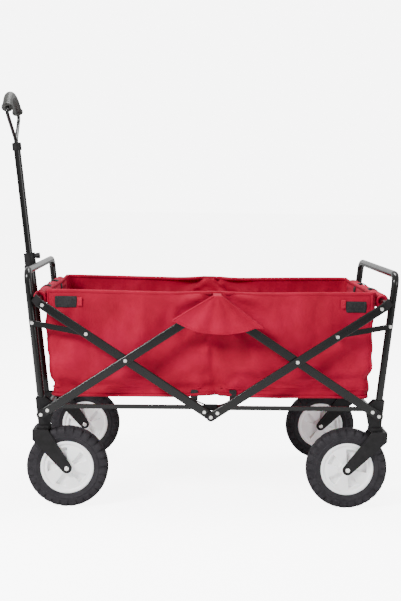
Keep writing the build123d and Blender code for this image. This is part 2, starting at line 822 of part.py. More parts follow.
with BuildPart() as handle_grip:
    with BuildLine(loop_plane) as grip_path:
        ThreePointArc((-loop_half_width, grip_start), (0, grip_top), (loop_half_width, grip_start))
    with BuildSketch(Plane(origin=grip_path.line @ 0, z_dir=grip_path.line % 0)):
        Circle(grip_radius)
        Circle(loop_rod_radius + running_gap, mode=Mode.SUBTRACT)
    sweep()
    for place, inwards in ((0, 1), (1, -1)):
        tangent = grip_path.line % place
        with BuildSketch(Plane(origin=grip_path.line @ place, z_dir=tangent * inwards)):
            Circle(grip_radius + 2.5)
            Circle(loop_rod_radius + seat_gap, mode=Mode.SUBTRACT)
        extrude(amount=4)
    # the button's well is in the front of the grip, at its middle
    with BuildSketch(loop_plane.offset(-grip_radius - 1)):
        with Locations((0, grip_top)):
            Circle(button_radius + running_gap)
    extrude(amount=grip_radius - 5, mode=Mode.SUBTRACT)
save(handle_grip.part, "handle_grip")

with BuildPart() as grip_button:
    with BuildSketch(loop_plane.offset(-grip_radius - button_proud)):
        with Locations((0, grip_top)):
            Circle(button_radius)
    extrude(amount=button_proud + grip_radius - 6.3 - button_travel)
    fillet(grip_button.faces().sort_by(Axis.X)[0].edges(), radius=1.5)
save(grip_button.part, "grip_button")


# ---- fabric tub ---------------------------------------------------------------------------------------------
def tub_outline(inset, floor):
    """The tub's side view, wider at the rim than at the floor, this far inside its outer face."""
    return [
        (-tub_half_length_top + inset, tub_rim_height),
        (tub_half_length_top - inset, tub_rim_height),
        (tub_half_length_bottom - inset, floor),
        (-tub_half_length_bottom + inset, floor),
    ]


with BuildPart() as tub:
    with BuildSketch(layer(-tub_half_width)):
        with BuildLine():
            Polyline(*tub_outline(0, tub_floor_height), close=True)
        make_face()
    extrude(amount=2 * tub_half_width)
    upright = [edge for edge in tub.edges() if (edge % 0.5).Z ** 2 > 0.9]
    fillet(upright, radius=14)
    with BuildSketch(layer(-tub_half_width + tub_wall)):
        with BuildLine():
            Polyline(*tub_outline(tub_wall, tub_floor_height + tub_wall), close=True)
        make_face()
    extrude(amount=2 * (tub_half_width - tub_wall), mode=Mode.SUBTRACT)
    for end in (FRONT, REAR):
        with BuildSketch(layer(-sleeve_half_length)):
            with Locations((end * rail_x, rail_z)):
                Circle(sleeve_radius)
        extrude(amount=2 * sleeve_half_length)
        with BuildSketch(layer(-tub_half_width - 1)):
            with Locations((end * rail_x, rail_z)):
                Circle(rail_radius + seat_gap)
        extrude(amount=2 * tub_half_width + 2, mode=Mode.SUBTRACT)
save(tub.part, "tub")

flap_in = outer_bar_out + seat_gap + pin_head_height + 1.5
flap_top = top_z + bar_height + 2
with BuildPart() as tub_flap:
    with BuildSketch(layer(flap_in)):
        with BuildLine():
            Polyline(
                (flap_half_width + 14, flap_bottom + 11),
                (38, flap_top),
                (-14, flap_top),
                (14 - flap_half_width, flap_bottom + 26),
            )
            Spline(
                (14 - flap_half_width, flap_bottom + 26),
                (-50, flap_bottom + 9),
                (24, flap_bottom),
                (95, flap_bottom + 7),
                (flap_half_width + 14, flap_bottom + 11),
            )
        make_face()
    extrude(amount=flap_thickness)
    with BuildSketch(layer(tub_half_width + seat_gap)):
        with Locations((12, flap_top - flap_thickness / 2)):
            Rectangle(52, flap_thickness)
    extrude(amount=flap_in + flap_thickness - tub_half_width - seat_gap)
save(tub_flap.part, "tub_flap_near")
save(far_copy(tub_flap.part), "tub_flap_far")
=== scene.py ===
"""The looks of the folding camp wagon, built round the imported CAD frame. Metres, in the row's frame."""

import json
from math import atan2, cos, hypot, pi, radians, sin

import bmesh
import bpy
from mathutils import Matrix, Vector, noise
from mathutils.bvhtree import BVHTree


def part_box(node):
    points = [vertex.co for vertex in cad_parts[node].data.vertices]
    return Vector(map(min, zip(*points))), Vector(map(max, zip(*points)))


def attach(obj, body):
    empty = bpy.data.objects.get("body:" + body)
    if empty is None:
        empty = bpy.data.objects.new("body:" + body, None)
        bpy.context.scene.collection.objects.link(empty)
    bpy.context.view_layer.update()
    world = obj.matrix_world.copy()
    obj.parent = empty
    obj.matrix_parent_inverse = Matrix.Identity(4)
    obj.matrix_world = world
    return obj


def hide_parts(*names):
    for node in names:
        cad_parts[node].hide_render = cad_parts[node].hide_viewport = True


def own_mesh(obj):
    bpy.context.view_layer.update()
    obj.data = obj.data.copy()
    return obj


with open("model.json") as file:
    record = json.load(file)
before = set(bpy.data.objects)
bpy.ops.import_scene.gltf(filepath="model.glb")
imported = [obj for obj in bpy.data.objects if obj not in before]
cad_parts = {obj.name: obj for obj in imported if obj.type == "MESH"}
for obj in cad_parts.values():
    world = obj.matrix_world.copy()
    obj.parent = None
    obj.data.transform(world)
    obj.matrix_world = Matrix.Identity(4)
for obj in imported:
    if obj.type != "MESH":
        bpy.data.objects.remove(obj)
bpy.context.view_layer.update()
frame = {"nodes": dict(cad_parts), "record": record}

scene = bpy.context.scene
nodes = frame["nodes"]

# ---- places, all worked out from the frame -------------------------------------------------------
tub_low, tub_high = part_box("tub")
middle_x = (tub_low.x + tub_high.x) / 2
rim_z = tub_high.z
floor_z = tub_low.z
half_width = tub_high.y
front_rail_low, front_rail_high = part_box("front_rail")
rail_x = middle_x - (front_rail_low.x + front_rail_high.x) / 2
rail_z = (front_rail_low.z + front_rail_high.z) / 2


def place(x, y, z):
    """A point given from the middle of the scissor frame."""
    return Vector((middle_x + x, y, z))


# ---- camera --------------------------------------------------------------------------------------
def make_camera():
    """The camera at the photograph's viewing angle: square to the side, a little above the rim."""
    yaw, pitch, roll = radians(1.250), radians(5.939), radians(0.752)
    eye = place(-0.0819, -2.7101, 0.7695)
    forward = Vector((sin(yaw) * cos(pitch), cos(yaw) * cos(pitch), -sin(pitch)))
    right = Vector((cos(yaw), -sin(yaw), 0))
    up = right.cross(forward)
    rolled_right = right * cos(roll) + up * sin(roll)
    rolled_up = up * cos(roll) - right * sin(roll)
    data = bpy.data.cameras.new("camera")
    data.sensor_width = 36
    data.lens = 61.24
    data.clip_start = 0.1
    data.clip_end = 100
    camera = bpy.data.objects.new("camera", data)
    turn = Matrix((rolled_right, rolled_up, -forward)).transposed().to_4x4()
    camera.matrix_world = Matrix.Translation(eye) @ turn
    scene.collection.objects.link(camera)
    scene.camera = camera


make_camera()


# ---- material helpers ----------------------------------------------------------------------------
class Recipe:
    """A procedural material on the object's own coordinates, which are metres."""

    def __init__(self, name):
        self.material = bpy.data.materials.new(name)
        self.material.use_nodes = True
        self.tree = self.material.node_tree
        self.shader = self.tree.nodes["Principled BSDF"]
        self.where = self.add("ShaderNodeTexCoord").outputs["Object"]
        self.normal = None

    def add(self, kind, **values):
        node = self.tree.nodes.new(kind)
        for key, value in values.items():
            setattr(node, key, value)
        return node

    def link(self, source, target):
        self.tree.links.new(source, target)

    def set(self, **values):
        for key, value in values.items():
            self.shader.inputs[key.replace("_", " ")].default_value = value

    def noise(self, scale, detail=4, rough=0.55, stretch=(1, 1, 1)):
        """Noise with about this many bumps in a metre."""
        mapping = self.add("ShaderNodeMapping")
        mapping.inputs["Scale"].default_value = stretch
        self.link(self.where, mapping.inputs["Vector"])
        node = self.add("ShaderNodeTexNoise")
        node.inputs["Scale"].default_value = scale
        node.inputs["Detail"].default_value = detail
        node.inputs["Roughness"].default_value = rough
        self.link(mapping.outputs["Vector"], node.inputs["Vector"])
        return node.outputs["Fac"]

    def wave(self, direction, pitch):
        """Parallel ridges across a direction, one every pitch metres."""
        dot = self.add("ShaderNodeVectorMath", operation="DOT_PRODUCT")
        dot.inputs[1].default_value = direction
        self.link(self.where, dot.inputs[0])
        turn = self.add("ShaderNodeMath", operation="MULTIPLY")
        turn.inputs[1].default_value = 2 * pi / pitch
        self.link(dot.outputs["Value"], turn.inputs[0])
        sine = self.add("ShaderNodeMath", operation="SINE")
        self.link(turn.outputs[0], sine.inputs[0])
        return sine.outputs[0]

    def math(self, operation, a, b):
        node = self.add("ShaderNodeMath", operation=operation)
        for socket, value in zip(node.inputs, (a, b)):
            if isinstance(value, (int, float)):
                socket.default_value = value
            else:
                self.link(value, socket)
        return node.outputs[0]

    def ramp(self, factor, *stops):
        node = self.add("ShaderNodeValToRGB")
        elements = node.color_ramp.elements
        while len(elements) < len(stops):
            elements.new(0.5)
        for element, (position, colour) in zip(elements, stops):
            element.position = position
            element.color = (*colour, 1)
        self.link(factor, node.inputs["Fac"])
        return node.outputs["Color"]

    def colour(self, factor, *stops):
        self.link(self.ramp(factor, *stops), self.shader.inputs["Base Color"])

    def roughness(self, factor, low, high):
        node = self.add("ShaderNodeMapRange")
        node.inputs["From Min"].default_value = 0.3
        node.inputs["From Max"].default_value = 0.7
        node.inputs["To Min"].default_value = low
        node.inputs["To Max"].default_value = high
        self.link(factor, node.inputs["Value"])
        self.link(node.outputs["Result"], self.shader.inputs["Roughness"])

    def bump(self, height, strength, distance):
        """Adds one layer of relief, this many metres deep, over the layers before it."""
        node = self.add("ShaderNodeBump")
        node.inputs["Strength"].default_value = strength
        node.inputs["Distance"].default_value = distance
        self.link(height, node.inputs["Height"])
        if self.normal:
            self.link(self.normal, node.inputs["Normal"])
        self.normal = node.outputs["Normal"]
        self.link(self.normal, self.shader.inputs["Normal"])


def make_fabric(name, dark, mid, light):
    """Coarse woven polyester with a soft sheen and slight mottling."""
    thread = 0.0014
    made = Recipe(name)
    mottle = made.noise(9, 6, 0.6)
    made.colour(mottle, (0.25, dark), (0.5, mid), (0.8, light))
    made.set(Sheen_Weight=0.05, Sheen_Roughness=0.45, Specular_IOR_Level=0.12)
    made.shader.inputs["Sheen Tint"].default_value = (1.0, 0.45, 0.58, 1)
    made.roughness(made.noise(160, 3), 0.62, 0.78)
    upright = made.wave((0, 0, 1), thread)
    across = made.wave((1, 1, 0), thread)
    weave = made.math("MULTIPLY", upright, across)
    made.bump(weave, 0.35, 0.0004)
    made.bump(made.noise(420, 3), 0.25, 0.0004)
    made.bump(made.noise(26, 4, 0.5), 0.35, 0.0020)
    return made.material


def make_webbing(name, dark, light):
    """Ribbed nylon webbing."""
    made = Recipe(name)
    rib = made.wave((1, 0.4, 1), 0.0022)
    made.colour(made.noise(300, 3), (0.3, dark), (0.75, light))
    made.set(Roughness=0.7, Specular_IOR_Level=0.15)
    made.bump(rib, 0.6, 0.0005)
    made.bump(made.noise(900, 2), 0.3, 0.0003)
    return made.material


def make_powder_coat():
    """Semi-gloss black powder coat with a fine orange peel, scuffed a little greyer in patches."""
    made = Recipe("powder_coat")
    wear = made.noise(34, 6, 0.65)
    made.colour(
        wear,
        (0.35, (0.002, 0.002, 0.002)),
        (0.62, (0.003, 0.003, 0.003)),
        (0.85, (0.010, 0.009, 0.009)),
    )
    made.roughness(made.noise(70, 5), 0.20, 0.34)
    made.set(Specular_IOR_Level=0.08, Coat_Weight=0.40, Coat_Roughness=0.12)
    made.bump(made.noise(700, 2), 0.12, 0.0003)
    return made.material


def make_black_plastic():
    """Black moulded nylon with a fine grain."""
    made = Recipe("black_nylon")
    made.colour(made.noise(45, 5), (0.3, (0.005, 0.005, 0.005)), (0.75, (0.013, 0.012, 0.013)))
    made.set(Specular_IOR_Level=0.12)
    made.roughness(made.noise(240, 3), 0.38, 0.56)
    made.bump(made.noise(1400, 2), 0.3, 0.0002)
    return made.material


def make_gloss_plastic():
    """Polished black moulding with faint handling marks."""
    made = Recipe("gloss_black")
    made.colour(made.noise(60, 4), (0.3, (0.012, 0.012, 0.013)), (0.8, (0.022, 0.021, 0.021)))
    made.roughness(made.noise(120, 6, 0.7), 0.10, 0.26)
    made.bump(made.noise(260, 3), 0.08, 0.0002)
    return made.material


def make_rubber(name, colour, grey, rough, ribs=None):
    """Moulded rubber, a little dusty, with a fine grain and perhaps ribs."""
    made = Recipe(name)
    made.colour(made.noise(55, 6, 0.65), (0.3, colour), (0.8, grey))
    made.roughness(made.noise(180, 4), rough, rough + 0.22)
    made.set(Specular_IOR_Level=0.20 if rough > 0.5 else 0.45)
    made.bump(made.noise(600, 3), 0.35, 0.0004)
    if ribs:
        made.bump(made.wave(*ribs), 0.7, 0.0007)
    return made.material


def make_white_plastic():
    """White polypropylene wheel centre: satin, with flow marks and a little road dust."""
    made = Recipe("white_moulding")
    made.colour(
        made.noise(24, 6, 0.6),
        (0.25, (0.80, 0.79, 0.79)),
        (0.5, (0.90, 0.90, 0.90)),
        (0.8, (0.94, 0.94, 0.95)),
    )
    made.roughness(made.noise(90, 5), 0.34, 0.52)
    made.set(Subsurface_Weight=0.08, Subsurface_Scale=0.004)
    made.bump(made.noise(500, 3), 0.12, 0.0003)
    return made.material


def make_metal(name, dark, light, rough, grain=(1, 1, 1)):
    """Plated or drawn metal with fine marks along its grain."""
    made = Recipe(name)
    made.colour(made.noise(80, 6, 0.6), (0.3, dark), (0.75, light))
    made.set(Metallic=1.0)
    made.roughness(made.noise(220, 5, 0.6, grain), rough, rough + 0.16)
    made.bump(made.noise(500, 4, 0.6, grain), 0.10, 0.0002)
    return made.material


red_fabric = make_fabric(
    "red_polyester", (0.18, 0.0003, 0.010), (0.26, 0.0008, 0.018), (0.35, 0.002, 0.031)
)
webbing = make_webbing("black_webbing", (0.010, 0.010, 0.011), (0.028, 0.027, 0.028))
red_webbing = make_webbing("red_webbing", (0.28, 0.002, 0.016), (0.42, 0.008, 0.038))
powder_coat = make_powder_coat()
black_plastic = make_black_plastic()
gloss_plastic = make_gloss_plastic()
tyre_rubber = make_rubber("tyre_rubber", (0.008, 0.007, 0.009), (0.022, 0.020, 0.023), 0.62)
grip_ribs = ((0, 1, 0), 0.006)
grip_rubber = make_rubber("grip_rubber", (0.007, 0.007, 0.006), (0.020, 0.020, 0.017), 0.30, grip_ribs)
white_plastic = make_white_plastic()
zinc = make_metal("zinc_plate", (0.62, 0.61, 0.58), (0.86, 0.86, 0.84), 0.18)

slot_materials = {
    "frame_paint": powder_coat,
    "plated_steel": zinc,
    "black_plastic": black_plastic,
    "gloss_black": gloss_plastic,
    "hub_plastic": white_plastic,
    "tyre": tyre_rubber,
    "grip_rubber": grip_rubber,
    "red_fabric": red_fabric,
}
for entry in frame["record"]["subparts"]:
    mesh = nodes[entry["node"]].data
    mesh.materials.clear()
    mesh.materials.append(slot_materials[entry["material_slot"]])


# ---- mesh helpers --------------------------------------------------------------------------------
def new_piece(name, vertices, faces, material, body):
    """A smooth-shaded mesh object that rides on a body."""
    mesh = bpy.data.meshes.new(name)
    mesh.from_pydata([tuple(v) for v in vertices], [], faces)
    mesh.materials.append(material)
    piece = bpy.data.objects.new(name, mesh)
    scene.collection.objects.link(piece)
    cleaned = bmesh.new()
    cleaned.from_mesh(mesh)
    bmesh.ops.remove_doubles(cleaned, verts=cleaned.verts, dist=1e-6)
    bmesh.ops.recalc_face_normals(cleaned, faces=cleaned.faces)
    cleaned.to_mesh(mesh)
    cleaned.free()
    for polygon in mesh.polygons:
        polygon.use_smooth = True
    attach(piece, body)
    return piece


def grid_faces(rows, columns, closed_columns=False, closed_rows=False):
    """Quads over a grid of points kept row by row."""
    faces = []
    for i in range(rows if closed_rows else rows - 1):
        for j in range(columns if closed_columns else columns - 1):
            a = i * columns + j
            b = i * columns + (j + 1) % columns
            c = ((i + 1) % rows) * columns
            faces.append((a, b, c + (j + 1) % columns, c + j))
    return faces


def apply_modifiers(piece):
    """Turns the piece's modifiers into its mesh."""
    bpy.context.view_layer.update()
    evaluated = piece.evaluated_get(bpy.context.evaluated_depsgraph_get())
    made = bpy.data.meshes.new_from_object(evaluated)
    piece.modifiers.clear()
    piece.data = made
    for polygon in made.polygons:
        polygon.use_smooth = True


def thicken(piece, thickness):
    """Gives a sheet its thickness, half on each side, with softly rounded edges."""
    solid = piece.modifiers.new("thickness", "SOLIDIFY")
    solid.thickness = thickness
    solid.offset = 0.0
    solid.use_even_offset = True
    smooth = piece.modifiers.new("smooth", "SUBSURF")
    smooth.levels = smooth.render_levels = 1
    apply_modifiers(piece)


def ease(value, low, high):
    """0 at low, 1 at high, and smooth between."""
    share = min(1.0, max(0.0, (value - low) / (high - low)))
    return share * share * (3 - 2 * share)


def bell(value, centre, width):
    """1 at the centre and falling to 0 over the width."""
    share = abs(value - centre) / width
    return (1 + cos(pi * share)) / 2 if share < 1 else 0.0


# ---- fabric tub ----------------------------------------------------------------------------------
tub_top_half = 0.404
tub_floor_half = 0.386
corner_radius = 0.016
shell_step = 0.0095
wall_rows = 28
floor_rows = 16
shell_columns = int(4 * (tub_top_half + half_width) / shell_step)
shell_thickness = 0.0022
gather_x, gather_z = 0.008, rim_z - 0.012
pucker_x, pucker_z = 0.028, 0.018


def shell_half_length(height):
    """Half the tub's length at this height, bulging a little low down where the end walls hang free."""
    share = (rim_z - height) / (rim_z - floor_z)
    return tub_top_half + (tub_floor_half - tub_top_half) * share + 0.006 * sin(pi * share) ** 2


def loop_point(share, half_length, half_breadth):
    """A point of a rounded rectangle and its outward normal, by its share of the way round."""
    straight_x = 2 * (half_length - corner_radius)
    straight_y = 2 * (half_breadth - corner_radius)
    arc = corner_radius * pi / 2
    lengths = (straight_x, arc, straight_y, arc, straight_x, arc, straight_y, arc)
    run = share * sum(lengths)
    for side, length in enumerate(lengths):
        if run <= length or side == 7:
            break
        run -= length
    quarter = side // 2
    # every wall and the corner after it are laid out as the near wall's, then turned into place
    turn = quarter * pi / 2
    along, beside = (half_length, half_breadth) if quarter % 2 == 0 else (half_breadth, half_length)
    if side % 2 == 0:
        x, y = -(along - corner_radius) + run, -beside
        nx, ny = 0.0, -1.0
    else:
        angle = run / corner_radius
        nx, ny = sin(angle), -cos(angle)
        x = along - corner_radius + corner_radius * nx
        y = -(beside - corner_radius) + corner_radius * ny
    c, s = cos(turn), sin(turn)
    return (x * c - y * s, x * s + y * c), (nx * c - ny * s, nx * s + ny * c)


def wall_relief(x, y, z, nx, ny):
    """How far the cloth stands out from the flat wall: its slack, its folds and its gathers."""
    share = (rim_z - z) / (rim_z - floor_z)
    side_wall = abs(ny)
    relief = 0.0050 * sin(pi * min(1, share * 1.05)) * side_wall
    # each half of a side wall bellies out between the fold line at the middle and the corners
    relief += 0.0040 * side_wall * sin(pi * share) * sin(pi * min(1, abs(x) / 0.38)) ** 2
    fold_line = bell(x - 0.004 - 0.016 * (share - 0.5), 0, 0.010) * ease(share, 0.30, 0.55)
    relief -= 0.0085 * fold_line * side_wall
    lobe = bell(x + 0.030, 0, 0.040) * ease(share, 0.30, 0.8)
    relief += 0.0030 * lobe * side_wall
    # folds that run out from the pivot at the top of the middle
    reach = hypot(x - gather_x, gather_z - z)
    bearing = atan2(gather_z - z, x - gather_x)
    gather = ease(reach, 0.004, 0.02) * (1 - ease(reach, 0.05, 0.17)) * side_wall
    relief += 0.0058 * gather * sin(13 * bearing + 1.4 * sin(3 * bearing))
    # a short pucker at the foot of the fold line
    foot = hypot(x - pucker_x, (z - floor_z - pucker_z) * 1.2)
    foot_bearing = atan2(z - floor_z - pucker_z, x - pucker_x)
    relief += 0.0036 * side_wall * (1 - ease(foot, 0.01, 0.06)) * sin(6 * foot_bearing)
    # puckers down the corner seams, deepest near the floor
    corner = ease(abs(nx * ny) * 4, 0.0, 1.0)
    from_walls = min(abs(abs(x) - shell_half_length(z)), abs(abs(y) - half_width))
    near_corner = max(corner, 1 - ease(from_walls, 0, 0.06))
    pucker = noise.noise(Vector((x * 9, y * 9, z * 42)))
    relief += 0.0085 * near_corner * (0.35 + 0.65 * share) * pucker
    slack = noise.noise(Vector((x * 5.0 + 3.1, y * 5.0, z * 8.0)))
    relief += 0.0052 * slack * sin(pi * min(1, share * 1.1))
    # long slack creases run down from the rim's ends towards the middle of the floor
    mirrored = abs(x)
    down_line = 0.80 * mirrored - 0.60 * z
    cross_line = 0.60 * mirrored + 0.80 * z
    pull = noise.noise(Vector((down_line * 5, cross_line * 21, 4.0 if x < 0 else 9.0)))
    relief += 0.0062 * pull * side_wall * sin(pi * min(1, share * 1.15)) ** 0.7
    return relief


def rim_drop(x, ny):
    """How far the rim dips below the line between the rails."""
    if abs(ny) < 0.5:
        return 0.004
    return 0.0045 * sin(pi * (x / tub_top_half + 1) / 2) ** 2 * (1 - 0.9 * bell(x - 0.006, 0, 0.10))


def floor_sag(x, y):
    """The floor hangs a little between the stays, and rises in the middle where it is held up."""
    return -0.004 * cos(pi * x / 0.80) * cos(pi * y / 0.47) + 0.004 * bell(x, 0, 0.09)


def make_tub():
    """One sewn shell: four walls in rows from the rim down, and a floor that closes in to its middle."""
    columns = shell_columns
    points = []
    breadth = half_width - 0.004
    for i in range(wall_rows + 1):
        share = i / wall_rows
        for j in range(columns):
            level = rim_z - 0.002 - share * (rim_z - floor_z - 0.002)
            half_length = shell_half_length(level)
            (x, y), (nx, ny) = loop_point((j + 0.5) / columns, half_length, breadth)
            z = level - rim_drop(x, ny) * (1 - share)
            # the lower hem arches up a little at the middle of each side
            z += 0.005 * bell(x, 0, 0.10) * ease(share, 0.7, 1.0) * abs(ny)
            out = wall_relief(x, y, z, nx, ny)
            points.append(place(x + nx * out, y + ny * out, z))
    for i in range(1, floor_rows):
        shrink = 1 - i / floor_rows
        half_length = shell_half_length(floor_z)
        for j in range(columns):
            (x, y), _ = loop_point((j + 0.5) / columns, half_length, breadth)
            x, y = x * shrink, y * shrink
            points.append(place(x, y, floor_z + 0.004 + floor_sag(x, y) * ease(1 - shrink, 0, 0.2)))
    rows = wall_rows + floor_rows
    faces = grid_faces(rows, columns, closed_columns=True)
    points.append(place(0, 0, floor_z + 0.004 + floor_sag(0, 0)))
    last = (rows - 1) * columns
    faces += [(last + j, last + (j + 1) % columns, rows * columns) for j in range(columns)]
    return new_piece("tub_shell", points, faces, red_fabric, "fabric_tub")


def settle(piece, frames, held, cap, gravity):
    """Lets a sheet hang as cloth from the points that held() names, moving no point more than cap."""
    before = [v.co.copy() for v in piece.data.vertices]
    group = piece.vertex_groups.new(name="held")
    for vertex in piece.data.vertices:
        weight = held(vertex.co)
        if weight > 0:
            group.add([vertex.index], weight, "REPLACE")
    cloth = piece.modifiers.new("cloth", "CLOTH")
    cloth.settings.quality = 6
    cloth.settings.mass = 0.15
    cloth.settings.tension_stiffness = 25
    cloth.settings.compression_stiffness = 25
    cloth.settings.shear_stiffness = 12
    cloth.settings.bending_stiffness = 0.8
    cloth.settings.vertex_group_mass = "held"
    cloth.settings.shrink_min = -0.012
    cloth.settings.effector_weights.gravity = gravity
    cloth.point_cache.frame_start = 1
    cloth.point_cache.frame_end = frames
    for number in range(1, frames + 1):
        scene.frame_set(number)
    apply_modifiers(piece)
    for vertex, start in zip(piece.data.vertices, before):
        moved = vertex.co - start
        if moved.length > cap:
            vertex.co = start + moved * (cap / moved.length)
    piece.vertex_groups.clear()
    scene.frame_set(1)


def crease(piece):
    """Presses sharp, short creases into settled cloth, thickest at the corners and round the middle."""
    normals = [v.normal.copy() for v in piece.data.vertices]
    for vertex, normal in zip(piece.data.vertices, normals):
        spot = vertex.co
        if spot.z < floor_z + 0.008:
            continue
        x = spot.x - middle_x
        share = (rim_z - spot.z) / (rim_z - floor_z)
        low_corner = (1 - ease(tub_top_half - abs(x), 0.03, 0.15)) * ease(share, 0.35, 0.8)
        centre = (1 - ease(abs(x - 0.01), 0.03, 0.12)) * (0.4 + 0.6 * abs(2 * share - 1))
        lean = 0.55 * (1 if x > 0 else -1)
        along = noise.noise(Vector(((x + lean * spot.z) * 26, spot.y * 20, (spot.z - lean * x) * 9)))
        ridge = (1 - min(1.0, abs(along) * 3.2)) ** 2
        depth = 0.0012 + 0.0036 * max(low_corner, 0.75 * centre)
        vertex.co = spot - normal * depth * ridge * ease(share, 0.03, 0.12)
    piece.data.update()


def settle_hold(spot):
    """How firmly the shell is held as it settles: fast at the rim, and partly at the floor's edge."""
    at_rim = ease(spot.z, rim_z - 0.04, rim_z - 0.012)
    return max(at_rim, 0.7 * (1 - ease(spot.z, floor_z + 0.004, floor_z + 0.02)))


tub_shell = make_tub()
settle(tub_shell, frames=14, held=settle_hold, cap=0.008, gravity=0.4)
crease(tub_shell)

# the seams, hems and everything sewn to the shell follow its own rows of points
shell_grid = [
    [tub_shell.data.vertices[i * shell_columns + j].co.copy() for j in range(shell_columns)]
    for i in range(wall_rows + 1)
]
shell_surface = BVHTree.FromPolygons(
    [v.co for v in tub_shell.data.vertices],
    [tuple(face.vertices) for face in tub_shell.data.polygons],
)
thicken(tub_shell, shell_thickness)
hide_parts("tub")


def fold_with_frame(piece):
    """Gives a piece of the tub its own copy of its mesh."""
    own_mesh(piece)


fold_with_frame(tub_shell)


def tube_along(name, path, radius):
    """A round cord of the red cloth along a path on the tub, with closed ends."""
    sides = 8
    frame_up = Vector((0, 1, 0))
    points = []
    for i, spot in enumerate(path):
        ahead = (path[min(i + 1, len(path) - 1)] - path[max(i - 1, 0)]).normalized()
        side = ahead.cross(frame_up)
        if side.length < 1e-4:
            side = ahead.cross(Vector((1, 0, 0)))
        side.normalize()
        up = side.cross(ahead)
        for j in range(sides):
            angle = 2 * pi * (j + 0.5) / sides
            points.append(spot + side * radius * cos(angle) + up * radius * sin(angle))
    faces = grid_faces(len(path), sides, closed_columns=True)
    faces.append(tuple(reversed(range(sides))))
    faces.append(tuple(range((len(path) - 1) * sides, len(path) * sides)))
    return new_piece(name, points, faces, red_fabric, "fabric_tub")


def band(name, path, across, width, thickness, body):
    """A flat strap of webbing along a path, its width along across, with softly rounded edges."""
    half = width / 2
    steps = 6
    points = []
    for spot in path:
        for j in range(steps + 1):
            points.append(spot + across * half * (2 * j / steps - 1))
    faces = grid_faces(len(path), steps + 1)
    strap = new_piece(name, points, faces, webbing, body)
    thicken(strap, thickness)
    return strap


def ring_tube(name, path, radius, flat=1.0):
    """A closed loop of red piping on the tub, its width to its height as flat to 1."""
    sides = 8
    points = []
    count = len(path)
    for i, spot in enumerate(path):
        ahead = (path[(i + 1) % count] - path[i - 1]).normalized()
        side = ahead.cross(Vector((0, 0, 1))).normalized()
        up = side.cross(ahead)
        for j in range(sides):
            angle = 2 * pi * (j + 0.5) / sides
            points.append(spot + side * radius * flat * cos(angle) + up * radius * sin(angle))
    faces = grid_faces(count, sides, closed_columns=True, closed_rows=True)
    fold_with_frame(new_piece(name, points, faces, red_fabric, "fabric_tub"))


def make_seams():
    """The bound rim, the doubled hem round the floor, and piping down the four corners."""
    rim = [p + Vector((0, 0, -0.0012)) for p in shell_grid[0]]
    ring_tube("rim_binding", rim, 0.0052, flat=0.62)
    ring_tube("floor_hem", shell_grid[wall_rows], 0.0042)
    ring_tube("floor_hem_upper", shell_grid[wall_rows - 2], 0.0023)
    middle = shell_grid[wall_rows // 2]
    for end_name, end in (("front", -1), ("rear", 1)):
        for side_name, side in (("near", -1), ("far", 1)):
            towards = [end * spot.x + side * spot.y for spot in middle]
            column = towards.index(max(towards))
            path = [shell_grid[i][column] for i in range(wall_rows + 1)]
            fold_with_frame(tube_along(f"corner_seam_{end_name}_{side_name}", path, 0.0030))


make_seams()


def wall_point(x, z, side, lift):
    """The place outside (lift > 0) or inside (lift < 0) a long wall, that far off its surface."""
    well_outside = 0.34
    start = place(x, side * well_outside, z)
    hit = shell_surface.ray_cast(start, Vector((0, -side, 0)))[0]
    if hit is None:
        hit = place(x, side * half_width, z)
    return Vector((hit.x, hit.y + side * lift, z))


# ---- sleeves round the end rails -----------------------------------------------------------------
sleeve_radius = 0.0182
sleeve_reach = 0.2185
strap_place = 0.075
strap_width = 0.026
strap_thickness = 0.0026
tail_heights = (0.500, 0.488, 0.474, 0.460, 0.446)


def sleeve_swell(y):
    """The sleeve's local radius: full between its straps, drawn in under them and at its two ends."""
    drawn = max(bell(abs(y), strap_place, 0.030), 1.0 - ease(sleeve_reach - abs(y), 0.0, 0.012))
    return sleeve_radius * (1.0 - 0.20 * drawn)


